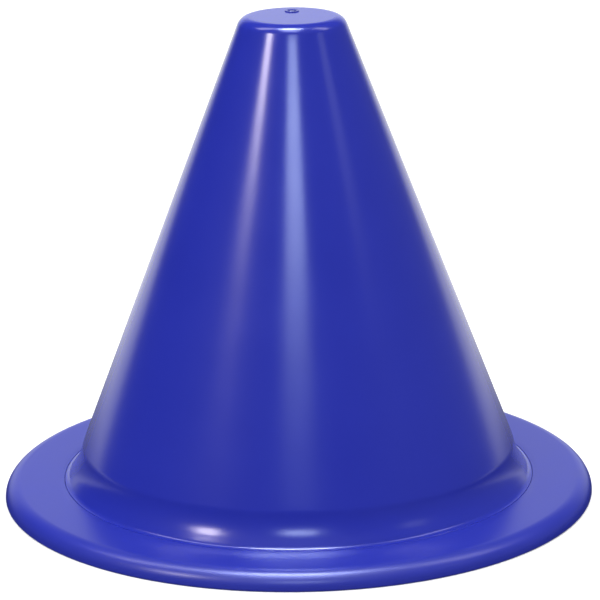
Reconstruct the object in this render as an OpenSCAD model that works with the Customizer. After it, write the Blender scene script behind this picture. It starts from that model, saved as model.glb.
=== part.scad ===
// Sports marker cone: a tapered body on a round weighted base.
// The body's foot lip lies under the skirt, the ballast ring holds it there,
// and pegs under the skirt pass through both and end in flat heads.
// The origin is the centre of the base on the floor, with +Z up. Millimetres.

/* [Overall] */
// Height of the flat top disc above the floor
cone_h = 228; // [180:1:300]
// Diameter of the round base at its outer edge
base_d = 278; // [220:1:340]
// Width of the base from the body's waist out to its edge
flange_w = 36.7; // [33.5:0.1:60]

/* [Cone body] */
// Diameter at which the slanted wall would meet the plane of the top disc
top_d = 47.5; // [36:0.5:80]
// Thickness of the moulded wall
body_wall = 2.2; // [1.6:0.1:3]
// Radius of the rounded shoulder round the top disc
shoulder_r = 6; // [4:0.5:10]
// Radius of the bulge where the slanted wall turns in to the waist
foot_bend_r = 16; // [8:1:60]
// Angle between the wall and the upright at the waist, where it is steepest
waist_turn = 12; // [0:1:14]
// Width of the flared foot, from the waist out to the seam
flare_w = 8.5; // [7.5:0.5:10]
// Angle between the flare's straight part and the upright
flare_turn = 34; // [28:1:36]
// Radius of the hollow curve between the waist and the flare's straight part
flare_r = 30; // [12:1:30]
// Radius of the fillet at the foot of the flare
foot_fillet_r = 3; // [1:0.5:3.5]
// Width of the foot lip that lies hidden under the skirt
lip_w = 9.5; // [9:0.5:11]

/* [Base skirt] */
// Height of the skirt's flat top above the floor
flange_h = 8.5; // [8:0.1:14]
// Thickness of the skirt
skirt_wall = 2.2; // [1.6:0.1:2.6]
// Rounding of the rim's lower outside edge
edge_r = 1; // [0.5:0.1:2]
// Radial gap between the body's foot and the skirt at the visible seam
seam_gap = 0.1; // [0.1:0.05:0.5]
// Width of the small bevel on both sides of the seam
seam_bevel = 0.2; // [0.1:0.1:0.5]
// How far the snap bead reaches in under the ballast ring
bead_reach = 1.3; // [0.8:0.1:2]
// Height of the snap bead above the floor
bead_h = 0.7; // [0.5:0.1:1]

/* [Fixing pegs] */
// Number of pegs round the skirt
peg_count = 8; // [4:1:16]
// Diameter of each peg
peg_d = 4.5; // [3:0.1:5]
// Diameter of the flattened head on each peg
head_d = 8; // [6:0.1:9]
// Thickness of that head
head_h = 1.3; // [0.8:0.1:1.6]
// Radial clearance round each peg and head
peg_clear = 0.2; // [0.1:0.05:0.4]

/* [Ballast ring] */
// Clearance between the ballast ring and the skirt round it
ballast_clear = 0.3; // [0.2:0.05:0.5]
// Rounding of the ballast ring's lower inside edge
ballast_edge_r = 1; // [0.5:0.1:2]

/* [Vent plug] */
// Diameter of the plug's stem in the top disc
plug_d = 5.2; // [4.6:0.1:7]
// Radial clearance of the stem in its hole
plug_clear = 0.1; // [0.05:0.05:0.2]
// Distance from the plug's head to where the top disc starts to round over
plug_edge = 5.6; // [0.5:0.1:8]
// Diameter of the plug's low head
plug_head_d = 6.6; // [6.4:0.1:9]
// Height of the head above the top disc
plug_head_h = 0.4; // [0.3:0.1:1.5]
// Rounding of the head's upper edge
plug_head_r = 0.2; // [0.1:0.1:0.3]
// Diameter of the shallow dish in the head
dish_d = 5.2; // [4.6:0.1:6]
// Depth of that dish
dish_h = 0.2; // [0.1:0.1:0.3]
// Diameter of each of the two vents through the plug
vent_d = 1.4; // [0.8:0.1:1.6]
// Distance between the two vents
vent_pitch = 2.8; // [2:0.1:3]
// How far the barb under the top disc stands out past the hole
plug_barb = 0.4; // [0.2:0.1:0.8]
// Length of the barb's taper
barb_h = 2.6; // [1.5:0.1:4]
// Diameter of the barb's lower end
barb_tip_d = 5; // [4.6:0.1:5.2]

/* [Hidden] */
$fn = 180;

// Points along a wide curve and along a small one
wide_steps = 16;
small_steps = 8;
// How far a cut runs past the face that it opens, and a peg into its wall
overrun = 0.5;

// Share of the dish that is its flat floor, and of the bead that is its lead-in
dish_floor_share = 0.8;
bead_lead_share = 0.5;

base_r = base_d / 2;
foot_r = base_r - flange_w;
top_r = top_d / 2;
rim_r = flange_h - edge_r;
rim_cx = base_r - rim_r;
skirt_under = flange_h - skirt_wall;

// The fillet's centre is above the seam, where the body ends and the skirt begins
seam_r = foot_r + flare_w;
fillet_cz = flange_h + foot_fillet_r;
lip_r = seam_r + lip_w;
lip_under = skirt_under - body_wall;
lip_in_r = seam_r - body_wall;

// The flare's straight part joins its hollow curve to the fillet
straight_w = flare_w - flare_r * (cos(waist_turn) - cos(flare_turn))
    - foot_fillet_r * cos(flare_turn);
flare_cx = foot_r + flare_r * cos(waist_turn);
flare_cz = fillet_cz + (flare_r - foot_fillet_r) * sin(flare_turn) + straight_w / tan(flare_turn);

// The bulge's centre, and the tangent from the top corner to the bulge
bend_cx = foot_r - foot_bend_r * cos(waist_turn);
bend_cz = flare_cz - (flare_r + foot_bend_r) * sin(waist_turn);
corner_dx = top_r - bend_cx;
corner_dz = cone_h - bend_cz;
corner_far = sqrt(corner_dx * corner_dx + corner_dz * corner_dz);
slant = atan2(corner_dz, corner_dx) - acos(foot_bend_r / corner_far);
shoulder_cz = cone_h - shoulder_r;
line_reach = top_r * cos(slant) + cone_h * sin(slant);
shoulder_cx = (line_reach - shoulder_r - shoulder_cz * sin(slant)) / cos(slant);

peg_ring_r = seam_r + lip_w / 2;
ballast_z = bead_h + ballast_clear;
ballast_rim_r = rim_r - skirt_wall - ballast_clear;
head_z = ballast_z + ballast_clear;

// The plug sits behind the middle of the top disc, inside its flat part
hole_r = plug_d / 2 + plug_clear;
plug_back = shoulder_cx - plug_edge - plug_head_d / 2;

blue = [0.15, 0.19, 0.63];
deep_blue = [0.12, 0.15, 0.52];
charcoal = [0.12, 0.12, 0.13];

// Points of an arc in the turned outline, from one angle to another
function arc(cx, cz, r, from, to, steps) =
    [for (i = [0:steps])
        let (a = from + (to - from) * i / steps)
        [cx + r * cos(a), cz + r * sin(a)]];

// Line of the whole wall, shared by the outside (in = 0) and the inside (in = body_wall).
// It ends at a given distance inside the seam.
function wall_line(in, end) = concat(
    arc(shoulder_cx, shoulder_cz, shoulder_r - in, 90, slant, small_steps),
    arc(bend_cx, bend_cz, foot_bend_r - in, slant, waist_turn, small_steps),
    arc(flare_cx, flare_cz, flare_r + in, 180 + waist_turn, 180 + flare_turn, wide_steps),
    arc(seam_r, fillet_cz, foot_fillet_r + in, 180 + flare_turn,
        270 - asin(end / (foot_fillet_r + in)), small_steps));

// Places of the pegs, and whatever is drawn at each
module at_pegs() {
    for (i = [0:peg_count - 1])
        rotate([0, 0, i * 360 / peg_count])
            translate([peg_ring_r, 0, 0])
                children();
}

// Thin tapered body with its top disc, flared foot and foot lip
module cone_body() {
    outside = concat(
        [[0, cone_h]],
        wall_line(0, seam_bevel),
        [[seam_r, flange_h - seam_bevel], [seam_r, skirt_under], [lip_r, skirt_under],
         [lip_r, lip_under], [lip_in_r, lip_under]]);
    inside = concat([[0, cone_h - body_wall]], wall_line(body_wall, body_wall));
    backwards = [for (i = [len(inside) - 1:-1:0]) inside[i]];
    color(blue)
        difference() {
            rotate_extrude()
                polygon(concat(outside, backwards));
            at_pegs()
                translate([0, 0, lip_under - overrun])
                    cylinder(h = body_wall + 2 * overrun, r = peg_d / 2 + peg_clear);
            translate([0, plug_back, cone_h - body_wall - overrun])
                cylinder(h = body_wall + 2 * overrun, r = hole_r);
        }
}

// Round base shell with a rolled rim, a snap bead and the fixing pegs
module base_skirt() {
    seam_out = seam_r + seam_gap;
    bead_r = base_r - skirt_wall - bead_reach;
    outline = concat(
        [[seam_out, skirt_under], [seam_out, flange_h - seam_bevel],
         [seam_out + seam_bevel, flange_h]],
        arc(rim_cx, edge_r, rim_r, 90, 0, wide_steps),
        arc(base_r - edge_r, edge_r, edge_r, 0, -90, small_steps),
        [[bead_r, 0], [bead_r, bead_lead_share * bead_h], [base_r - skirt_wall, bead_h]],
        arc(rim_cx, edge_r, rim_r - skirt_wall, 0, 90, wide_steps));
    color(blue)
        union() {
            rotate_extrude()
                polygon(outline);
            at_pegs() {
                translate([0, 0, head_z])
                    cylinder(h = skirt_under - head_z + overrun, r = peg_d / 2);
                translate([0, 0, head_z])
                    cylinder(h = head_h, r = head_d / 2);
            }
        }
}

// Heavy ring that fills the skirt, clamps the foot lip and keeps the cone upright
module ballast_ring() {
    step_r = lip_r + ballast_clear;
    top_z = skirt_under - ballast_clear;
    rim_turn = acos((ballast_z - edge_r) / ballast_rim_r);
    outline = concat(
        [[lip_in_r, lip_under], [step_r, lip_under], [step_r, top_z]],
        arc(rim_cx, edge_r, ballast_rim_r, 90, 90 - rim_turn, wide_steps),
        arc(lip_in_r + ballast_edge_r, ballast_z + ballast_edge_r, ballast_edge_r, 270, 180,
            small_steps));
    color(charcoal)
        difference() {
            rotate_extrude()
                polygon(outline);
            at_pegs() {
                translate([0, 0, ballast_z - overrun])
                    cylinder(h = lip_under - ballast_z + 2 * overrun, r = peg_d / 2 + peg_clear);
                translate([0, 0, ballast_z - overrun])
                    cylinder(h = head_z + head_h - ballast_z + overrun,
                             r = head_d / 2 + peg_clear);
            }
        }
}

// Push-in plug with two fine vents, which let air out of a stack as it closes
module vent_plug() {
    head_r = plug_head_d / 2;
    head_top = cone_h + plug_head_h;
    dish_z = head_top - dish_h;
    barb_z = cone_h - body_wall - plug_clear;
    tip_z = barb_z - barb_h;
    outline = concat(
        [[0, dish_z], [dish_floor_share * dish_d / 2, dish_z], [dish_d / 2, head_top]],
        arc(head_r - plug_head_r, head_top - plug_head_r, plug_head_r, 90, 0, small_steps),
        [[head_r, cone_h], [plug_d / 2, cone_h], [plug_d / 2, barb_z],
         [hole_r + plug_barb, barb_z], [barb_tip_d / 2, tip_z], [0, tip_z]]);
    color(deep_blue)
        translate([0, plug_back, 0])
            difference() {
                rotate_extrude()
                    polygon(outline);
                for (side = [-1, 1])
                    translate([side * vent_pitch / 2, 0, tip_z - overrun])
                        cylinder(h = dish_z - tip_z + 2 * overrun, r = vent_d / 2);
            }
}

cone_body();
base_skirt();
ballast_ring();
vent_plug();
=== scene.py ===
"""Looks of the sports marker cone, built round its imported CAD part.

Lengths are in millimetres in the size classes and in metres in the meshes.
"""
from __future__ import annotations

import logging
import math
from dataclasses import dataclass
from enum import Enum
from typing import Sequence, Union

import bmesh
import bpy
from mathutils import Matrix, Vector

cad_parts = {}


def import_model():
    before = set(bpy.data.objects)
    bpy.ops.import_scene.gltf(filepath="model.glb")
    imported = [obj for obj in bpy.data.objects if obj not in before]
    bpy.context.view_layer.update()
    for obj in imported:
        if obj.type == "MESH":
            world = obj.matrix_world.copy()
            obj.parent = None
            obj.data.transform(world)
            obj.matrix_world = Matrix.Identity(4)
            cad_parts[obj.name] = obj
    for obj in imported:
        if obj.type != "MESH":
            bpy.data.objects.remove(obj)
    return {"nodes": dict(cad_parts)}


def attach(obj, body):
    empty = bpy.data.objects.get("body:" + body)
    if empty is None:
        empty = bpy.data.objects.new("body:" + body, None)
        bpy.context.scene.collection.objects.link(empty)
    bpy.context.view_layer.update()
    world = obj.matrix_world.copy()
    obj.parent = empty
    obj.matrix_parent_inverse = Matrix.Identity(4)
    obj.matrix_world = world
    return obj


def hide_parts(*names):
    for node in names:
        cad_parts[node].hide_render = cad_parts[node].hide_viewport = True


MM = 0.001
FULL_TURN = 2.0 * math.pi
TURN_STEPS = 256
PEG_STEPS = 40
PLUG_STEPS = 72
SHARP_ANGLE = math.radians(28.0)
MERGE_REACH = 1e-6
# Width of a softened seam edge, and how far a cutter passes what it cuts, in millimetres.
SOFT_EDGE = 0.08
OVERRUN = 0.5
ROOT_BODY = "root"

Colour = tuple[float, float, float]
Spot = tuple[float, float]
Span = tuple[float, float]
Trio = tuple[float, float, float]
Value = Union["Wire", float, Sequence[float]]

BLUE: Colour = (0.016, 0.026, 0.372)
DARK_BLUE: Colour = (0.018, 0.026, 0.3)
CHARCOAL: Colour = (0.03, 0.03, 0.032)

log = logging.getLogger("marker_cone")


# Sizes of the pieces


@dataclass(frozen=True)
class ConeSizes:
    """Sizes that the part's source gives, in millimetres."""

    cone_h: float = 228.0
    base_d: float = 278.0
    flange_w: float = 36.7
    top_d: float = 47.5
    body_wall: float = 2.2
    shoulder_r: float = 6.0
    foot_bend_r: float = 16.0
    waist_turn: float = 12.0
    flare_w: float = 8.5
    flare_turn: float = 34.0
    flare_r: float = 30.0
    foot_fillet_r: float = 3.0
    lip_w: float = 9.5
    flange_h: float = 8.5
    skirt_wall: float = 2.2
    edge_r: float = 1.0
    seam_gap: float = 0.1
    seam_bevel: float = 0.2
    bead_reach: float = 1.3
    bead_h: float = 0.7
    peg_count: int = 8
    peg_d: float = 4.5
    head_d: float = 8.0
    head_h: float = 1.3
    peg_clear: float = 0.2
    ballast_clear: float = 0.3
    ballast_edge_r: float = 1.0

    @property
    def base_r(self) -> float:
        """Radius of the round base."""
        return self.base_d / 2

    @property
    def foot_r(self) -> float:
        """Radius of the waist, where the wall is steepest."""
        return self.base_r - self.flange_w

    @property
    def rim_r(self) -> float:
        """Radius of the rolled rim's section."""
        return self.flange_h - self.edge_r

    @property
    def rim_cx(self) -> float:
        """Distance of the rolled rim's centre from the axis."""
        return self.base_r - self.rim_r

    @property
    def skirt_under(self) -> float:
        """Height of the skirt's underside."""
        return self.flange_h - self.skirt_wall

    @property
    def seam_r(self) -> float:
        """Radius of the seam between body and skirt."""
        return self.foot_r + self.flare_w

    @property
    def fillet_cz(self) -> float:
        """Height of the foot fillet's centre."""
        return self.flange_h + self.foot_fillet_r

    @property
    def flare_cx(self) -> float:
        """Distance from the axis to the centre of the hollow curve at the top of the flare."""
        return self.foot_r + self.flare_r * math.cos(math.radians(self.waist_turn))

    @property
    def flare_cz(self) -> float:
        """Height of the centre of the hollow curve at the top of the flare.

        Returns:
            The height in millimetres.
        """
        turn = math.radians(self.flare_turn)
        waist = math.radians(self.waist_turn)
        straight_w = (self.flare_w - self.flare_r * (math.cos(waist) - math.cos(turn))
                      - self.foot_fillet_r * math.cos(turn))
        return (self.fillet_cz + (self.flare_r - self.foot_fillet_r) * math.sin(turn)
                + straight_w / math.tan(turn))

    @property
    def lip_r(self) -> float:
        """Outer radius of the hidden foot lip."""
        return self.seam_r + self.lip_w

    @property
    def lip_under(self) -> float:
        """Height of the foot lip's underside."""
        return self.skirt_under - self.body_wall

    @property
    def lip_in_r(self) -> float:
        """Inner radius of the foot lip."""
        return self.seam_r - self.body_wall

    @property
    def bend_cx(self) -> float:
        """Distance of the bulge's centre from the axis."""
        return self.foot_r - self.foot_bend_r * math.cos(math.radians(self.waist_turn))

    @property
    def bend_cz(self) -> float:
        """Height of the bulge's centre."""
        reach = self.flare_r + self.foot_bend_r
        return self.flare_cz - reach * math.sin(math.radians(self.waist_turn))

    @property
    def slant(self) -> float:
        """Angle of the slanted wall's normal above the floor.

        Returns:
            The angle in degrees.
        """
        run = self.top_d / 2 - self.bend_cx
        rise = self.cone_h - self.bend_cz
        far = math.hypot(run, rise)
        return math.degrees(math.atan2(rise, run) - math.acos(self.foot_bend_r / far))

    @property
    def shoulder_cz(self) -> float:
        """Height of the shoulder's centre."""
        return self.cone_h - self.shoulder_r

    @property
    def shoulder_cx(self) -> float:
        """Distance of the shoulder's centre from the axis.

        Returns:
            The distance in millimetres.
        """
        turn = math.radians(self.slant)
        reach = self.top_d / 2 * math.cos(turn) + self.cone_h * math.sin(turn)
        return (reach - self.shoulder_r - self.shoulder_cz * math.sin(turn)) / math.cos(turn)

    @property
    def peg_ring_r(self) -> float:
        """Radius of the circle that the pegs stand on."""
        return self.seam_r + self.lip_w / 2

    @property
    def ballast_z(self) -> float:
        """Height of the ballast ring's underside."""
        return self.bead_h + self.ballast_clear

    @property
    def ballast_rim_r(self) -> float:
        """Radius of the ballast ring's rounded outer section."""
        return self.rim_r - self.skirt_wall - self.ballast_clear

    @property
    def head_z(self) -> float:
        """Height of the pegs' flattened heads."""
        return self.ballast_z + self.ballast_clear


@dataclass(frozen=True)
class PlugSizes:
    """Sizes of the vent plug, in millimetres."""

    plug_d: float = 5.2
    plug_clear: float = 0.1
    plug_edge: float = 5.6
    head_d: float = 6.6
    head_h: float = 0.4
    head_r: float = 0.2
    dish_d: float = 5.2
    dish_h: float = 0.2
    dish_floor_share: float = 0.8
    vent_d: float = 1.4
    vent_pitch: float = 2.8
    barb: float = 0.4
    barb_h: float = 2.6
    barb_tip_d: float = 5.0

    @property
    def hole_r(self) -> float:
        """Radius of the hole in the top disc."""
        return self.plug_d / 2 + self.plug_clear

    def back(self, cone: ConeSizes) -> float:
        """Distance of the plug behind the cone's axis.

        Args:
            cone: Sizes of the cone that carries the plug.

        Returns:
            The distance along +Y in millimetres.
        """
        return cone.shoulder_cx - self.plug_edge - self.head_d / 2


# Making of meshes


class Turning:
    """An outline drawn in the plane Y = 0 and then spun round an upright axis."""

    def __init__(self, r: float, z: float) -> None:
        """Start the outline.

        Args:
            r: Distance of the first point from the axis.
            z: Height of the first point.
        """
        self.mesh = bmesh.new()
        self.first = self.mesh.verts.new((r, 0.0, z))
        self.tip = self.first

    def line(self, r: float, z: float, steps: int = 1) -> None:
        """Extrude the outline's tip along a straight line.

        Args:
            r: Distance of the line's end from the axis.
            z: Height of the line's end.
            steps: Number of equal lengths along the line.
        """
        start, goal = self.tip.co.copy(), Vector((r, 0.0, z))
        for step in range(1, steps + 1):
            made = bmesh.ops.extrude_vert_indiv(self.mesh, verts=[self.tip])
            self.tip = made["verts"][0]
            self.tip.co = start.lerp(goal, step / steps)

    def arc(self, r: float, z: float, degrees: float, steps: int) -> None:
        """Spin the outline's tip round a centre.

        Args:
            r: Distance of the arc's centre from the axis.
            z: Height of the arc's centre.
            degrees: Angle of the arc, positive from the outside towards the top.
            steps: Number of lengths along the arc.
        """
        made = bmesh.ops.spin(
            self.mesh, geom=[self.tip], cent=(r, 0.0, z), axis=(0.0, -1.0, 0.0),
            dvec=(0.0, 0.0, 0.0), angle=math.radians(degrees), steps=steps,
            use_merge=False, use_duplicate=False)
        self.tip = [v for v in made["geom_last"] if isinstance(v, bmesh.types.BMVert)][0]

    def close(self) -> None:
        """Join the outline's tip to its first point."""
        self.mesh.edges.new((self.tip, self.first))

    def spun(self, steps: int = TURN_STEPS) -> bmesh.types.BMesh:
        """Spin the outline round the axis into a closed surface.

        Args:
            steps: Number of steps in the full turn.

        Returns:
            The surface, with its poles merged and its faces pointing outwards.
        """
        outline = self.mesh.verts[:] + self.mesh.edges[:]
        bmesh.ops.spin(
            self.mesh, geom=outline, cent=(0.0, 0.0, 0.0), axis=(0.0, 0.0, 1.0),
            dvec=(0.0, 0.0, 0.0), angle=FULL_TURN, steps=steps, use_merge=True,
            use_duplicate=False)
        bmesh.ops.remove_doubles(self.mesh, verts=self.mesh.verts[:], dist=MERGE_REACH / MM)
        bmesh.ops.recalc_face_normals(self.mesh, faces=self.mesh.faces[:])
        return self.mesh


def soften_rings(mesh: bmesh.types.BMesh, rings: Sequence[Spot], width: float,
                 segments: int = 3) -> None:
    """Bevel whole rings of edges.

    Args:
        mesh: The turned surface, in millimetres.
        rings: Radius and height of each ring.
        width: Width of the bevel.
        segments: Number of faces across the bevel.
    """
    reach = 1e-3

    def on_ring(vert: bmesh.types.BMVert, ring: Spot) -> bool:
        """Tell whether a vertex lies on a ring."""
        away = math.hypot(vert.co.x, vert.co.y)
        return abs(away - ring[0]) < reach and abs(vert.co.z - ring[1]) < reach

    edges = [e for e in mesh.edges
             if any(on_ring(e.verts[0], ring) and on_ring(e.verts[1], ring) for ring in rings)]
    bmesh.ops.bevel(mesh, geom=edges, offset=width, offset_type="OFFSET", segments=segments,
                    profile=0.5, affect="EDGES", material=-1, clamp_overlap=True)


@dataclass(frozen=True)
class MouldRipple:
    """Slow, shallow waves that a moulded wall keeps, always inside its true outline.

    Height and fade are in millimetres, rises in radians for each millimetre.
    """

    height: float = 0.05
    turns: tuple[int, ...] = (3, 5, 8, 13)
    rises: tuple[float, ...] = (0.055, -0.041, 0.083, 0.031)
    starts: tuple[float, ...] = (0.4, 2.1, 4.4, 5.3)
    shares: tuple[float, ...] = (0.34, 0.28, 0.22, 0.16)
    fade: float = 6.0

    def depth(self, x: float, y: float, z: float) -> float:
        """Depth of the wave at a point.

        Args:
            x: Place along X in millimetres.
            y: Place along Y in millimetres.
            z: Height in millimetres.

        Returns:
            A depth from zero to the ripple's height.
        """
        turn = math.atan2(y, x)
        wave = sum(share * math.sin(count * turn + rise * z + start)
                   for count, rise, start, share
                   in zip(self.turns, self.rises, self.starts, self.shares))
        return self.height * (0.5 + 0.5 * wave)

    def press(self, mesh: bmesh.types.BMesh, low: float, high: float) -> None:
        """Press the waves into the parts of a mesh between two heights.

        Args:
            mesh: The surface, in millimetres.
            low: Height under which the mesh stays as it is.
            high: Height over which the mesh stays as it is.
        """
        for vert in mesh.verts:
            x, y, z = vert.co
            away = math.hypot(x, y)
            if away < self.fade or not low < z < high:
                continue
            share = min(1.0, (z - low) / self.fade, (high - z) / self.fade)
            push = 1.0 - share * self.depth(x, y, z) / away
            vert.co = Vector((x * push, y * push, z))


def to_object(mesh: bmesh.types.BMesh, name: str) -> bpy.types.Object:
    """Turn a mesh in millimetres into an object at the origin, in metres.

    Args:
        mesh: The mesh, which is freed.
        name: Name of the object.

    Returns:
        The linked object.
    """
    bmesh.ops.scale(mesh, vec=(MM, MM, MM), verts=mesh.verts[:])
    data = bpy.data.meshes.new(name)
    mesh.to_mesh(data)
    mesh.free()
    piece = bpy.data.objects.new(name, data)
    bpy.context.scene.collection.objects.link(piece)
    return piece


def smooth_faces(piece: bpy.types.Object) -> None:
    """Shade a piece smooth, with its sharp edges kept.

    Args:
        piece: The object whose mesh is shaded.
    """
    mesh = bmesh.new()
    mesh.from_mesh(piece.data)
    for face in mesh.faces:
        face.smooth = True
    for edge in mesh.edges:
        edge.smooth = len(edge.link_faces) != 2 or edge.calc_face_angle(0.0) < SHARP_ANGLE
    mesh.to_mesh(piece.data)
    mesh.free()


def upright_cylinder(mesh: bmesh.types.BMesh, radius: float, low: float, high: float,
                     place: Spot, segments: int = 48) -> None:
    """Add an upright cylinder to a mesh.

    Args:
        mesh: The mesh that takes the cylinder.
        radius: Radius of the cylinder.
        low: Height of its lower end.
        high: Height of its upper end.
        place: Place of its axis along X and Y.
        segments: Number of its sides.
    """
    middle = Matrix.Translation((place[0], place[1], (low + high) / 2))
    bmesh.ops.create_cone(mesh, cap_ends=True, cap_tris=False, segments=segments,
                          radius1=radius, radius2=radius, depth=high - low, matrix=middle)


def cut(piece: bpy.types.Object, cutter: bmesh.types.BMesh) -> None:
    """Cut a piece with a mesh in millimetres.

    Args:
        piece: The object that is cut.
        cutter: The cutting mesh, which is freed.
    """
    bmesh.ops.recalc_face_normals(cutter, faces=cutter.faces[:])
    tool = to_object(cutter, piece.name + "_cutter")
    modifier = piece.modifiers.new("cut", "BOOLEAN")
    modifier.operation = "DIFFERENCE"
    modifier.solver = "EXACT"
    modifier.object = tool
    bpy.context.view_layer.update()
    seen = piece.evaluated_get(bpy.context.evaluated_depsgraph_get())
    made = bpy.data.meshes.new_from_object(seen)
    piece.modifiers.clear()
    old, made.name = piece.data, piece.name
    piece.data = made
    bpy.data.meshes.remove(old)
    data = tool.data
    bpy.data.objects.remove(tool)
    bpy.data.meshes.remove(data)


def peg_places(sizes: ConeSizes) -> list[Spot]:
    """Places of the pegs round the base.

    Args:
        sizes: Sizes of the cone.

    Returns:
        X and Y of each peg in millimetres.
    """
    return [(sizes.peg_ring_r * math.cos(i * FULL_TURN / sizes.peg_count),
             sizes.peg_ring_r * math.sin(i * FULL_TURN / sizes.peg_count))
            for i in range(sizes.peg_count)]


# Making of materials


class Wire:
    """An output socket that takes part in Python sums."""

    def __init__(self, book: NodeBook, socket: bpy.types.NodeSocket) -> None:
        """Wrap a socket.

        Args:
            book: The node book that owns the socket.
            socket: The output socket.
        """
        self.book = book
        self.socket = socket

    def sister(self, name: str) -> Wire:
        """Another output of the same node."""
        return Wire(self.book, self.socket.node.outputs[name])

    def _sum(self, operation: str, first: Value, second: Value) -> Wire:
        """Add a Math node for two values."""
        return self.book.add("ShaderNodeMath", {"operation": operation}, {0: first, 1: second})

    def __add__(self, other: Value) -> Wire:
        """Add a value."""
        return self._sum("ADD", self, other)

    def __radd__(self, other: Value) -> Wire:
        """Add this to a value."""
        return self._sum("ADD", other, self)

    def __sub__(self, other: Value) -> Wire:
        """Take a value away."""
        return self._sum("SUBTRACT", self, other)

    def __rsub__(self, other: Value) -> Wire:
        """Take this away from a value."""
        return self._sum("SUBTRACT", other, self)

    def __mul__(self, other: Value) -> Wire:
        """Multiply by a value."""
        return self._sum("MULTIPLY", self, other)

    def __rmul__(self, other: Value) -> Wire:
        """Multiply a value by this."""
        return self._sum("MULTIPLY", other, self)

    def __pow__(self, other: Value) -> Wire:
        """Raise to a power."""
        return self._sum("POWER", self, other)

    def __rpow__(self, other: Value) -> Wire:
        """Raise a value to this power."""
        return self._sum("POWER", other, self)


class NodeBook:
    """Adds nodes to one tree."""

    # Places of a Mix node's colour sockets.
    MIX_SHARE, MIX_FIRST, MIX_SECOND, MIX_COLOUR = 0, 6, 7, 2

    def __init__(self, tree: bpy.types.NodeTree) -> None:
        """Empty the tree.

        Args:
            tree: The node tree of a material or of the world.
        """
        self.tree = tree
        tree.nodes.clear()

    def add(self, kind: str, settings: dict[str, object] | None = None,
            inputs: dict[Union[str, int], Value] | None = None,
            output: Union[str, int] = 0) -> Wire:
        """Add one node.

        Args:
            kind: Type of the node.
            settings: Node properties, set before the sockets.
            inputs: Values or links of the input sockets.
            output: Name or number of the output socket that is wanted.

        Returns:
            The output socket, wrapped.
        """
        node = self.tree.nodes.new(kind)
        for name, value in (settings or {}).items():
            setattr(node, name, value)
        for key, value in (inputs or {}).items():
            if isinstance(value, Wire):
                self.tree.links.new(value.socket, node.inputs[key])
            else:
                node.inputs[key].default_value = value
        return Wire(self, node.outputs[output] if len(node.outputs) else None)

    def object_place(self) -> Wire:
        """Object coordinates, in metres."""
        return self.add("ShaderNodeTexCoord", output="Object")

    def noise(self, place: Wire, size_mm: float, detail: float = 2.0,
              roughness: float = 0.5) -> Wire:
        """Add a noise texture.

        Args:
            place: Coordinates in metres.
            size_mm: Rough size of the noise's spots.
            detail: Number of finer layers.
            roughness: Strength of the finer layers.

        Returns:
            A value near one half.
        """
        return self.add("ShaderNodeTexNoise", {"noise_dimensions": "3D"},
                        {"Vector": place, "Scale": 1.0 / (size_mm * MM), "Detail": detail,
                         "Roughness": roughness}, "Fac")

    def ramp(self, value: Wire, low: float, high: float, start: float = 0.0,
             end: float = 1.0) -> Wire:
        """Map a value with a smooth step.

        Args:
            value: The value.
            low: Where the step begins.
            high: Where the step ends.
            start: Result below the step.
            end: Result above the step.

        Returns:
            The mapped value.
        """
        return self.add("ShaderNodeMapRange", {"interpolation_type": "SMOOTHSTEP"},
                        {"Value": value, "From Min": low, "From Max": high, "To Min": start,
                         "To Max": end}, "Result")

    def blend(self, share: Value, first: Value, second: Value) -> Wire:
        """Mix two colours.

        Args:
            share: Share of the second colour.
            first: First colour.
            second: Second colour.

        Returns:
            The mixed colour.
        """
        return self.add("ShaderNodeMix", {"data_type": "RGBA"},
                        {self.MIX_SHARE: share, self.MIX_FIRST: first, self.MIX_SECOND: second},
                        self.MIX_COLOUR)

    def split(self, place: Wire) -> tuple[Wire, Wire, Wire]:
        """Split coordinates into their three values.

        Args:
            place: The coordinates.

        Returns:
            The X, Y and Z values.
        """
        first = self.add("ShaderNodeSeparateXYZ", inputs={0: place})
        return first, first.sister("Y"), first.sister("Z")

    def rays(self) -> tuple[Wire, Wire]:
        """Light Path's marks of rays from the camera and of rays off glossy surfaces."""
        is_camera = self.add("ShaderNodeLightPath", output="Is Camera Ray")
        return is_camera, is_camera.sister("Is Glossy Ray")

    def bump(self, height: Value, distance: float, under: Value | None = None) -> Wire:
        """Add a bump.

        Args:
            height: The height from zero to one.
            distance: Height in metres that a one stands for.
            under: A coarser bump that this one lies on.

        Returns:
            The bent normal.
        """
        inputs: dict[Union[str, int], Value] = {
            "Height": height, "Distance": distance, "Strength": 1.0}
        if under is not None:
            inputs["Normal"] = under
        return self.add("ShaderNodeBump", inputs=inputs)


def new_material(name: str) -> tuple[bpy.types.Material, NodeBook]:
    """Make a material with an empty node tree.

    Args:
        name: Name of the material.

    Returns:
        The material and the book of its nodes.
    """
    material = bpy.data.materials.new(name)
    material.use_nodes = True
    return material, NodeBook(material.node_tree)


def opaque(colour: Colour) -> tuple[float, float, float, float]:
    """A colour with full alpha."""
    return (*colour, 1.0)


def shaded(colour: Colour, share: float) -> tuple[float, float, float, float]:
    """A colour multiplied by a share, with full alpha."""
    return opaque((colour[0] * share, colour[1] * share, colour[2] * share))


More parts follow.
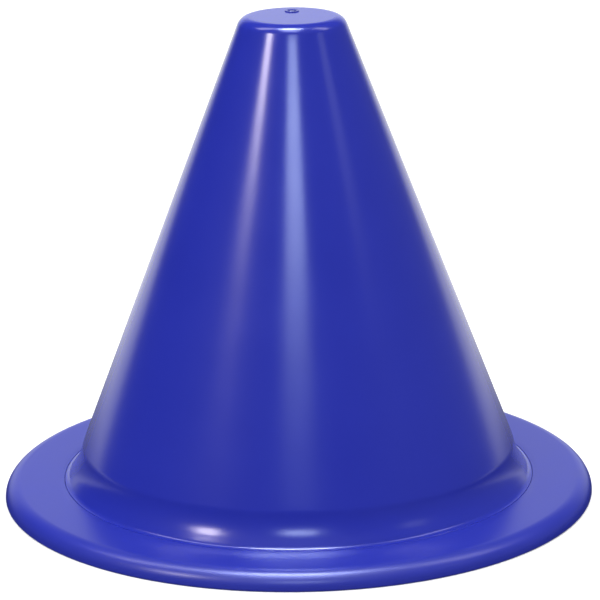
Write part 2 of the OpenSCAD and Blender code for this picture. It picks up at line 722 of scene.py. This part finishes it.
@dataclass(frozen=True)
class VinylFinish:
    """Glossy moulded vinyl with a fine orange peel and faint scuffs, with painted shade darkening
    the colour along the seam near the floor.

    Sizes are in millimetres, and shares run from zero to one.
    """

    slot: str
    colour: Colour
    seam_r: float
    edge_r: float
    roughness: float = 0.2
    cloud_mm: float = 26.0
    cloud_tones: Span = (0.95, 1.05)
    cloud_sheen: float = 0.05
    speck_mm: float = 1.1
    speck_sheen: float = 0.03
    peel_mm: float = 2.4
    peel_height: float = 0.0035
    scuff_mm: float = 1.6
    scuff_height: float = 0.002
    scuff_turn: Trio = (0.5, 0.3, 0.9)
    scuff_stretch: Trio = (1.0, 0.09, 1.0)
    scuff_lines: Span = (0.62, 0.74)
    patch_mm: float = 34.0
    patch_edge: Span = (0.5, 0.66)
    rim_w: float = 5.0
    wear_inside: float = 0.25
    wear_tone: float = 0.05
    wear_sheen: float = 0.12
    wear_colour: Colour = (0.30, 0.34, 0.62)
    # Painted shade: the colour darkens in a band along the seam, below a given height, in place of
    # shade in the crease.
    seam_shade_reach: Span = (0.2, 1.1)
    seam_shade_top: float = 9.5
    seam_shade_share: float = 0.12
    seam_shade_tone: float = 0.45

    def make(self) -> bpy.types.Material:
        """Make the material.

        Returns:
            The vinyl material.
        """
        material, book = new_material(self.slot)
        place = book.object_place()
        x, y, z = book.split(place)
        away = (x * x + y * y) ** 0.5

        cloud = book.noise(place, self.cloud_mm, detail=3.0)
        speck = book.noise(place, self.speck_mm, roughness=0.7)
        scuff = self._scuffs(book, place)
        rim = book.ramp(away, (self.edge_r - self.rim_w) * MM, self.edge_r * MM)
        worn = scuff * book.ramp(rim, 0.0, 1.0, self.wear_inside, 1.0)
        # Painted shade along the seam crease, fading out away from the seam and with height.
        off_seam = book.add("ShaderNodeMath", {"operation": "ABSOLUTE"},
                            {0: away - self.seam_r * MM})
        near, far = self.seam_shade_reach
        seam_shade = book.ramp(off_seam, near * MM, far * MM, self.seam_shade_share, 0.0)
        low = book.ramp(z, 0.0, self.seam_shade_top * MM, 1.0, 0.0)

        dark, light = (shaded(self.colour, tone) for tone in self.cloud_tones)
        tone = book.blend(cloud, dark, light)
        tone = book.blend(worn * self.wear_tone, tone, opaque(self.wear_colour))
        # Darken the colour with the painted shade in the seam.
        tone = book.blend(seam_shade * low, tone, shaded(self.colour, self.seam_shade_tone))

        mean_sheen = (self.cloud_sheen + self.speck_sheen) / 2
        sheen = (cloud * self.cloud_sheen + speck * self.speck_sheen + worn * self.wear_sheen
                 + (self.roughness - mean_sheen))
        peel = book.noise(place, self.peel_mm, roughness=0.45)
        normal = book.bump(peel, self.peel_height * MM)
        normal = book.bump(scuff, self.scuff_height * MM, normal)
        shader = book.add("ShaderNodeBsdfPrincipled", inputs={
            "Base Color": tone, "Roughness": sheen, "Normal": normal, "IOR": 1.5,
            "Specular IOR Level": 0.5})
        book.add("ShaderNodeOutputMaterial", inputs={"Surface": shader})
        return material

    def _scuffs(self, book: NodeBook, place: Wire) -> Wire:
        """Make fine handling scuffs.

        Args:
            book: The node book of the material.
            place: Object coordinates.

        Returns:
            A mask from zero to one.
        """
        turned = book.add("ShaderNodeMapping", inputs={
            "Vector": place, "Rotation": self.scuff_turn, "Scale": self.scuff_stretch})
        lines = book.noise(turned, self.scuff_mm, detail=3.0, roughness=0.6)
        patch = book.noise(place, self.patch_mm)
        return book.ramp(lines, *self.scuff_lines) * book.ramp(patch, *self.patch_edge)


@dataclass(frozen=True)
class RubberFinish:
    """Matt recycled rubber with a crumb grain.

    Sizes are in millimetres, and shares run from zero to one.
    """

    slot: str
    colour: Colour
    crumb_mm: float = 1.7
    crumb_tones: Span = (0.7, 1.5)
    crumb_sheen: float = 0.12
    crumb_edge: float = 0.9
    crumb_height: float = 0.22
    grit_mm: float = 0.5
    grit_height: float = 0.04
    cloud_mm: float = 12.0
    cloud_sheen: float = 0.1
    low_sheen: float = 0.72
    fleck_edge: Span = (0.93, 0.99)
    fleck_share: float = 0.5
    fleck_colour: Colour = (0.10, 0.11, 0.16)

    def make(self) -> bpy.types.Material:
        """Make the material.

        Returns:
            The rubber material.
        """
        material, book = new_material(self.slot)
        place = book.object_place()
        crumb = book.add("ShaderNodeTexVoronoi", {"feature": "F1"},
                         {"Vector": place, "Scale": 1.0 / (self.crumb_mm * MM)}, "Distance")
        cloud = book.noise(place, self.cloud_mm, detail=3.0)
        grey = book.add("ShaderNodeSeparateColor", inputs={0: crumb.sister("Color")})
        dark, light = (shaded(self.colour, tone) for tone in self.crumb_tones)
        fleck = book.ramp(grey, *self.fleck_edge) * self.fleck_share
        tone = book.blend(fleck, book.blend(grey, dark, light), opaque(self.fleck_colour))
        sheen = cloud * self.cloud_sheen + crumb * self.crumb_sheen + self.low_sheen
        grain = book.ramp(crumb, 0.0, self.crumb_edge, 1.0, 0.0)
        normal = book.bump(grain, self.crumb_height * MM)
        normal = book.bump(book.noise(place, self.grit_mm), self.grit_height * MM, normal)
        shader = book.add("ShaderNodeBsdfPrincipled", inputs={
            "Base Color": tone, "Roughness": sheen, "Normal": normal, "IOR": 1.5})
        book.add("ShaderNodeOutputMaterial", inputs={"Surface": shader})
        return material


# The four pieces


@dataclass(frozen=True)
class Piece:
    """What every piece of the cone shares."""

    name: str
    node: str
    slot: str
    sizes: ConeSizes
    finish: Union[VinylFinish, RubberFinish]

    def mesh(self) -> bpy.types.Object:
        """Model the piece.

        Returns:
            The object that stands for the CAD node.
        """
        raise NotImplementedError

    def build(self) -> bpy.types.Object:
        """Model the piece, dress it and put it in the CAD node's place.

        Returns:
            The finished piece.
        """
        piece = self.mesh()
        smooth_faces(piece)
        piece.data.materials.clear()
        piece.data.materials.append(self.finish.make())
        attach(piece, ROOT_BODY)
        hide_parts(self.node)
        return piece


@dataclass(frozen=True)
class ConeBody(Piece):
    """Tapered body with its top disc, bulge, flared foot and hidden foot lip."""

    plug: PlugSizes = PlugSizes()
    ripple: MouldRipple = MouldRipple()
    ripple_margin: float = 1.0
    wall_steps: int = 56
    inside_steps: int = 28

    def mesh(self) -> bpy.types.Object:
        """Turn the wall and cut the peg holes and the vent hole.

        Returns:
            The body.
        """
        s = self.sizes
        slant = math.radians(s.slant)
        flare = math.radians(s.flare_turn)
        inner_r = s.foot_fillet_r + s.body_wall
        fillet_end = 90.0 - math.degrees(math.asin(s.seam_bevel / s.foot_fillet_r))
        inner_end = 90.0 - math.degrees(math.asin(s.body_wall / inner_r))
        inner_from = math.radians(180.0 + inner_end)

        def bend(inset: float) -> Spot:
            """Point where the slanted wall meets the bulge."""
            reach = s.foot_bend_r - inset
            return s.bend_cx + reach * math.cos(slant), s.bend_cz + reach * math.sin(slant)

        def shoulder(inset: float) -> Spot:
            """Point where the slanted wall meets the shoulder."""
            reach = s.shoulder_r - inset
            return s.shoulder_cx + reach * math.cos(slant), s.shoulder_cz + reach * math.sin(slant)

        def foot(reach: float) -> Spot:
            """Point where the flare's straight part meets the fillet."""
            return s.seam_r - reach * math.cos(flare), s.fillet_cz - reach * math.sin(flare)

        outline = Turning(0.0, s.cone_h)
        outline.line(s.shoulder_cx, s.cone_h, steps=8)
        outline.arc(s.shoulder_cx, s.shoulder_cz, s.slant - 90.0, steps=14)
        outline.line(*bend(0.0), self.wall_steps)
        outline.arc(s.bend_cx, s.bend_cz, s.waist_turn - s.slant, steps=8)
        outline.arc(s.flare_cx, s.flare_cz, s.flare_turn - s.waist_turn, steps=24)
        outline.line(*foot(s.foot_fillet_r), steps=3)
        outline.arc(s.seam_r, s.fillet_cz, fillet_end - s.flare_turn, steps=16)
        outline.line(s.seam_r, s.flange_h - s.seam_bevel)
        outline.line(s.seam_r, s.skirt_under)
        outline.line(s.lip_r, s.skirt_under)
        outline.line(s.lip_r, s.lip_under)
        outline.line(s.lip_in_r, s.lip_under)
        outline.line(s.seam_r + inner_r * math.cos(inner_from),
                     s.fillet_cz + inner_r * math.sin(inner_from))
        outline.arc(s.seam_r, s.fillet_cz, s.flare_turn - inner_end, steps=10)
        outline.line(s.flare_cx - (s.flare_r + s.body_wall) * math.cos(flare),
                     s.flare_cz - (s.flare_r + s.body_wall) * math.sin(flare))
        outline.arc(s.flare_cx, s.flare_cz, s.waist_turn - s.flare_turn, steps=12)
        outline.arc(s.bend_cx, s.bend_cz, s.slant - s.waist_turn, steps=6)
        outline.line(*shoulder(s.body_wall), self.inside_steps)
        outline.arc(s.shoulder_cx, s.shoulder_cz, 90.0 - s.slant, steps=8)
        outline.line(0.0, s.cone_h - s.body_wall)
        body = outline.spun()
        self.ripple.press(body, s.flange_h + self.ripple_margin, s.cone_h - self.ripple_margin)
        soften_rings(body, [(s.seam_r, s.flange_h - s.seam_bevel)], SOFT_EDGE)
        piece = to_object(body, self.name)

        holes = bmesh.new()
        for place in peg_places(s):
            upright_cylinder(holes, s.peg_d / 2 + s.peg_clear, s.lip_under - OVERRUN,
                             s.skirt_under + OVERRUN, place)
        upright_cylinder(holes, self.plug.hole_r, s.cone_h - s.body_wall - OVERRUN,
                         s.cone_h + OVERRUN, (0.0, self.plug.back(s)))
        cut(piece, holes)
        return piece


@dataclass(frozen=True)
class BaseSkirt(Piece):
    """Round base shell with its rolled rim, snap bead and staked pegs."""

    peg_root: float = 0.5
    head_edge: float = 0.35
    head_dome: Trio = (0.08, 0.3, 0.34)

    def mesh(self) -> bpy.types.Object:
        """Turn the shell and stand the pegs under it.

        Returns:
            The skirt.
        """
        s = self.sizes
        seam_out = s.seam_r + s.seam_gap
        bead_r = s.base_r - s.skirt_wall - s.bead_reach
        outline = Turning(seam_out, s.skirt_under)
        outline.line(seam_out, s.flange_h - s.seam_bevel)
        outline.line(seam_out + s.seam_bevel, s.flange_h)
        outline.line(s.rim_cx, s.flange_h, steps=6)
        outline.arc(s.rim_cx, s.edge_r, -90.0, steps=22)
        outline.arc(s.base_r - s.edge_r, s.edge_r, -90.0, steps=8)
        outline.line(bead_r, 0.0)
        outline.line(bead_r, s.bead_h / 2)
        outline.line(s.base_r - s.skirt_wall, s.bead_h)
        outline.line(s.base_r - s.skirt_wall, s.edge_r)
        outline.arc(s.rim_cx, s.edge_r, 90.0, steps=14)
        outline.close()
        skirt = outline.spun()
        soften_rings(skirt, [(seam_out, s.flange_h - s.seam_bevel),
                             (seam_out + s.seam_bevel, s.flange_h)], SOFT_EDGE)
        for place in peg_places(s):
            self._peg(skirt, place)
        return to_object(skirt, self.name)

    def _peg(self, skirt: bmesh.types.BMesh, place: Spot) -> None:
        """Add one peg with its flattened, slightly domed head.

        Args:
            skirt: The skirt's mesh, which takes the peg.
            place: Place of the peg along X and Y.
        """
        s, edge = self.sizes, self.head_edge
        outline = Turning(0.0, s.skirt_under + self.peg_root)
        outline.line(s.peg_d / 2, s.skirt_under + self.peg_root)
        outline.line(s.peg_d / 2, s.head_z + s.head_h)
        outline.line(s.head_d / 2, s.head_z + s.head_h)
        outline.line(s.head_d / 2, s.head_z + edge)
        outline.arc(s.head_d / 2 - edge, s.head_z + edge, -90.0, steps=4)
        for away, rise in zip((s.head_d / 4, s.head_d / 8, 0.0), self.head_dome):
            outline.line(away, s.head_z + rise)
        peg = outline.spun(PEG_STEPS)
        bmesh.ops.translate(peg, vec=(place[0], place[1], 0.0), verts=peg.verts[:])
        held = bpy.data.meshes.new("peg")
        peg.to_mesh(held)
        peg.free()
        skirt.from_mesh(held)
        bpy.data.meshes.remove(held)


@dataclass(frozen=True)
class BallastRing(Piece):
    """Heavy rubber ring inside the skirt, with a pocket for each peg's head."""

    shaft_start: float = 1.0

    def mesh(self) -> bpy.types.Object:
        """Turn the ring and cut its pockets.

        Returns:
            The ring.
        """
        s = self.sizes
        step_r = s.lip_r + s.ballast_clear
        rim_turn = math.degrees(math.acos((s.ballast_z - s.edge_r) / s.ballast_rim_r))
        outline = Turning(s.lip_in_r, s.lip_under)
        outline.line(step_r, s.lip_under)
        outline.line(step_r, s.skirt_under - s.ballast_clear)
        outline.line(s.rim_cx, s.skirt_under - s.ballast_clear)
        outline.arc(s.rim_cx, s.edge_r, -rim_turn, steps=14)
        outline.line(s.lip_in_r + s.ballast_edge_r, s.ballast_z)
        outline.arc(s.lip_in_r + s.ballast_edge_r, s.ballast_z + s.ballast_edge_r, -90.0, steps=6)
        outline.close()
        piece = to_object(outline.spun(), self.name)
        shafts = (s.peg_d, s.ballast_z + self.shaft_start, s.lip_under + OVERRUN)
        seats = (s.head_d, s.ballast_z - OVERRUN, s.head_z + s.head_h)
        for width, low, high in (shafts, seats):
            pockets = bmesh.new()
            for place in peg_places(s):
                upright_cylinder(pockets, width / 2 + s.peg_clear, low, high, place)
            cut(piece, pockets)
        return piece


@dataclass(frozen=True)
class VentPlug(Piece):
    """Low push-in plug with a shallow dish and two fine vents."""

    plug: PlugSizes = PlugSizes()

    def mesh(self) -> bpy.types.Object:
        """Turn the plug, cut its vents and set it behind the middle of the disc.

        Returns:
            The plug.
        """
        s, p = self.sizes, self.plug
        head_top = s.cone_h + p.head_h
        dish_z = head_top - p.dish_h
        barb_z = s.cone_h - s.body_wall - p.plug_clear
        tip_z = barb_z - p.barb_h
        outline = Turning(0.0, dish_z)
        outline.line(p.dish_floor_share * p.dish_d / 2, dish_z)
        outline.line(p.dish_d / 2, head_top)
        outline.line(p.head_d / 2 - p.head_r, head_top)
        outline.arc(p.head_d / 2 - p.head_r, head_top - p.head_r, -90.0, steps=8)
        outline.line(p.head_d / 2, s.cone_h)
        outline.line(p.plug_d / 2, s.cone_h)
        outline.line(p.plug_d / 2, barb_z)
        outline.line(p.hole_r + p.barb, barb_z)
        outline.line(p.barb_tip_d / 2, tip_z)
        outline.line(0.0, tip_z)
        plug = outline.spun(PLUG_STEPS)
        back = p.back(s)
        bmesh.ops.translate(plug, vec=(0.0, back, 0.0), verts=plug.verts[:])
        piece = to_object(plug, self.name)
        vents = bmesh.new()
        for side in (-1.0, 1.0):
            upright_cylinder(vents, p.vent_d / 2, tip_z - OVERRUN, head_top + OVERRUN,
                             (side * p.vent_pitch / 2, back), segments=32)
        cut(piece, vents)
        return piece


# Camera, lamps and surroundings


@dataclass(frozen=True)
class PhotoCamera:
    """Camera at the photograph's viewing angle, fitted to the cone's outline.

    Its distance and height are in metres and its angles in degrees.
    """

    distance: float = 1.5
    height: float = 0.5262
    yaw: float = 0.07
    pitch: float = 16.12
    roll: float = -0.81
    focal_px: float = 3334.0
    frame_px: float = 600.0
    sensor_mm: float = 36.0
    nearest: float = 0.01
    farthest: float = 50.0

    def place(self) -> bpy.types.Object:
        """Make the scene's camera.

        Returns:
            The camera object.
        """
        yaw, pitch, roll = (math.radians(a) for a in (self.yaw, self.pitch, self.roll))
        ahead = Vector((math.sin(yaw) * math.cos(pitch), math.cos(yaw) * math.cos(pitch),
                        -math.sin(pitch)))
        level = Vector((math.cos(yaw), -math.sin(yaw), 0.0))
        above = level.cross(ahead)
        right = math.cos(roll) * level + math.sin(roll) * above
        up = math.cos(roll) * above - math.sin(roll) * level
        data = bpy.data.cameras.new("photo_camera")
        data.sensor_fit = "HORIZONTAL"
        data.sensor_width = self.sensor_mm
        data.lens = self.focal_px * self.sensor_mm / self.frame_px
        data.clip_start = self.nearest
        data.clip_end = self.farthest
        camera = bpy.data.objects.new("photo_camera", data)
        turn = Matrix((right, up, -ahead)).transposed()
        camera.matrix_world = Matrix.Translation((0.0, -self.distance, self.height)) @ turn.to_4x4()
        bpy.context.scene.collection.objects.link(camera)
        bpy.context.scene.camera = camera
        return camera


class LampRole(Enum):
    """What a lamp is there for."""

    GLOSS = "seen in reflections only"
    FILL = "lights the colours only"


def heading(azimuth: float, elevation: float) -> Vector:
    """Direction from the cone, with azimuth 0 towards the photograph's camera.

    Args:
        azimuth: Degrees to the right as the camera sees it.
        elevation: Degrees above the floor.

    Returns:
        A unit vector.
    """
    turn, rise = math.radians(azimuth), math.radians(elevation)
    return Vector((math.sin(turn) * math.cos(rise), -math.cos(turn) * math.cos(rise),
                   math.sin(rise)))


@dataclass(frozen=True)
class Softbox:
    """A flat lamp that faces the cone.

    Its direction, width and height are angles in degrees as the cone sees them. Its distance and
    the point that it aims at are in metres.
    """

    name: str
    azimuth: float
    elevation: float
    width: float
    height: float
    radiance: float
    tint: Colour = (1.0, 1.0, 1.0)
    distance: float = 2.0
    role: LampRole = LampRole.GLOSS
    aim: Trio = (0.0, 0.0, 0.12)

    def place(self) -> bpy.types.Object:
        """Hang the lamp.

        Returns:
            The light object.
        """
        across = 2.0 * self.distance * math.tan(math.radians(self.width) / 2)
        along = 2.0 * self.distance * math.tan(math.radians(self.height) / 2)
        data = bpy.data.lights.new(self.name, "AREA")
        data.shape = "RECTANGLE"
        data.size = across
        data.size_y = along
        data.color = self.tint
        data.energy = self.radiance * math.pi * across * along
        lamp = bpy.data.objects.new(self.name, data)
        outward = heading(self.azimuth, self.elevation)
        turn = (-outward).to_track_quat("-Z", "Y")
        lamp.matrix_world = (Matrix.Translation(Vector(self.aim) + outward * self.distance)
                             @ turn.to_matrix().to_4x4())
        lamp.visible_camera = False
        lamp.visible_transmission = False
        lamp.visible_diffuse = self.role is LampRole.FILL
        lamp.visible_glossy = self.role is LampRole.GLOSS
        bpy.context.scene.collection.objects.link(lamp)
        log.info("lamp %s, %s", self.name, self.role.value)
        return lamp


@dataclass(frozen=True)
class Studio:
    """Plain pale floor and surroundings.

    The gloss values are what reflections show: the floor brightens towards the back, and the room
    is bright at the back, less so higher up, and faintly lit from the right. The floor's sizes are
    in metres, and the room's reaches are parts of a unit direction.
    """

    floor_half: float = 6.0
    fill: float = 0.57
    floor_white: float = 0.8
    floor_glow: float = 0.3
    floor_bounce: float = 0.45
    floor_dark: float = 0.04
    floor_gloss: float = 1.15
    floor_reach: Span = (0.0, 0.52)
    back_gloss: float = 1.07
    back_reach: Span = (0.72, 0.97)
    back_rise: Span = (0.18, 0.36)
    back_high: float = 0.66
    side_dark: float = 0.03
    side_gloss: float = 0.2
    side_reach: Span = (0.2, 0.9)
    gloss_tint: Colour = (0.92, 0.96, 1.08)

    def build(self) -> None:
        """Make the floor and the world."""
        self._floor()
        self._world()

    def _floor(self) -> None:
        """Lay a floor that is pale to the camera and darker in front to reflections."""
        mesh = bmesh.new()
        bmesh.ops.create_grid(mesh, x_segments=1, y_segments=1, size=self.floor_half)
        data = bpy.data.meshes.new("floor")
        mesh.to_mesh(data)
        mesh.free()
        floor = bpy.data.objects.new("floor", data)
        bpy.context.scene.collection.objects.link(floor)
        material, book = new_material("floor_white")
        _, y, _ = book.split(book.object_place())
        is_camera, is_glossy = book.rays()
        bounce, paint = (book.add("ShaderNodeBsdfDiffuse", inputs={"Color": (grey, grey, grey, 1.0)})
                         for grey in (self.floor_bounce, self.floor_white))
        glow = book.add("ShaderNodeEmission", inputs={"Strength": self.floor_glow})
        seen = book.add("ShaderNodeAddShader", inputs={0: paint, 1: glow})
        bright = book.ramp(y, *self.floor_reach, self.floor_dark, self.floor_gloss)
        sheen = book.add("ShaderNodeEmission", inputs={"Strength": bright})
        shader = book.add("ShaderNodeMixShader", inputs={0: is_camera, 1: bounce, 2: seen})
        shader = book.add("ShaderNodeMixShader", inputs={0: is_glossy, 1: shader, 2: sheen})
        book.add("ShaderNodeOutputMaterial", inputs={"Surface": shader})
        floor.data.materials.append(material)

    def _world(self) -> None:
        """Surround the stage with white for the camera and a soft room for the rest."""
        world = bpy.data.worlds.new("studio")
        bpy.context.scene.world = world
        world.use_nodes = True
        book = NodeBook(world.node_tree)
        x, y, z = book.split(book.add("ShaderNodeTexCoord", output="Generated"))
        is_camera, is_glossy = book.rays()
        room = (book.ramp(y, *self.back_reach, 0.0, self.back_gloss)
                * book.ramp(z, *self.back_rise, 1.0, self.back_high)
                + book.ramp(x, *self.side_reach, self.side_dark, self.side_gloss))
        plain = opaque((1.0, 1.0, 1.0))
        fill, gloss, white = (
            book.add("ShaderNodeBackground", inputs={"Strength": strength, "Color": colour})
            for strength, colour in ((self.fill, plain), (room, opaque(self.gloss_tint)),
                                     (1.0, plain)))
        shader = book.add("ShaderNodeMixShader", inputs={0: is_glossy, 1: fill, 2: gloss})
        shader = book.add("ShaderNodeMixShader", inputs={0: is_camera, 1: shader, 2: white})
        book.add("ShaderNodeOutputWorld", inputs={"Surface": shader})


LEFT_OF_AXIS: Trio = (-0.08, 0.0, 0.12)
ROSE: Colour = (1.0, 0.90, 0.94)
SKY: Colour = (0.82, 0.97, 1.25)
MINT: Colour = (0.95, 1.0, 1.0)
COOL: Colour = (0.84, 0.95, 1.3)
PINK: Colour = (1.0, 0.95, 1.0)
# Name, azimuth, elevation, width, height, radiance and tint of each lamp.
LAMPS: tuple[Softbox, ...] = (
    Softbox("left_box", -50.0, 31.4, 10.0, 9.0, 30.0, ROSE),
    Softbox("centre_box", 0.0, 30.0, 15.0, 7.4, 12.3, SKY),
    Softbox("right_box", 62.0, 27.0, 12.0, 8.0, 1.2, MINT),
    Softbox("overhead_strip", 0.0, 86.0, 24.0, 10.0, 44.0, COOL, aim=LEFT_OF_AXIS),
    Softbox("front_strip", 0.0, 69.0, 24.0, 24.0, 7.0, COOL, aim=LEFT_OF_AXIS),
    Softbox("overhead_left", -98.0, 58.0, 14.0, 26.0, 6.0, PINK),
    Softbox("overhead_right", 92.0, 52.0, 14.0, 26.0, 4.5, PINK),
    Softbox("overhead_fill", 0.0, 70.0, 60.0, 60.0, 2.0, role=LampRole.FILL),
    Softbox("rear_fill", 180.0, 65.0, 60.0, 60.0, 1.4, role=LampRole.FILL),
    Softbox("left_fill", -60.0, 30.0, 60.0, 30.0, 0.9, role=LampRole.FILL),
)


def main() -> None:
    """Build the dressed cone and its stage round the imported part."""
    logging.basicConfig(level=logging.INFO, format="%(name)s: %(message)s")
    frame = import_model()
    log.info("frame holds %s", sorted(frame["nodes"]))
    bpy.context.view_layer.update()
    bpy.context.scene.view_settings.view_transform = "Standard"
    PhotoCamera().place()
    Studio().build()
    for lamp in LAMPS:
        lamp.place()

    sizes = ConeSizes()
    rings = (sizes.seam_r, sizes.base_r)
    pieces = (
        ConeBody("cone_body_shell", "cone_body", "body_plastic", sizes,
                 VinylFinish("body_plastic", BLUE, *rings)),
        BaseSkirt("base_skirt_shell", "base_skirt", "skirt_plastic", sizes,
                  VinylFinish("skirt_plastic", BLUE, *rings, roughness=0.32)),
        BallastRing("ballast_ring_block", "ballast_ring", "ballast_rubber", sizes,
                    RubberFinish("ballast_rubber", CHARCOAL)),
        VentPlug("vent_plug_button", "vent_plug", "plug_plastic", sizes,
                 VinylFinish("plug_plastic", DARK_BLUE, *rings, roughness=0.24)),
    )
    for piece in pieces:
        made = piece.build()
        triangles = sum(len(face.vertices) - 2 for face in made.data.polygons)
        log.info("%s stands for %s with %d triangles", made.name, piece.node, triangles)


if __name__ == "__main__":
    main()
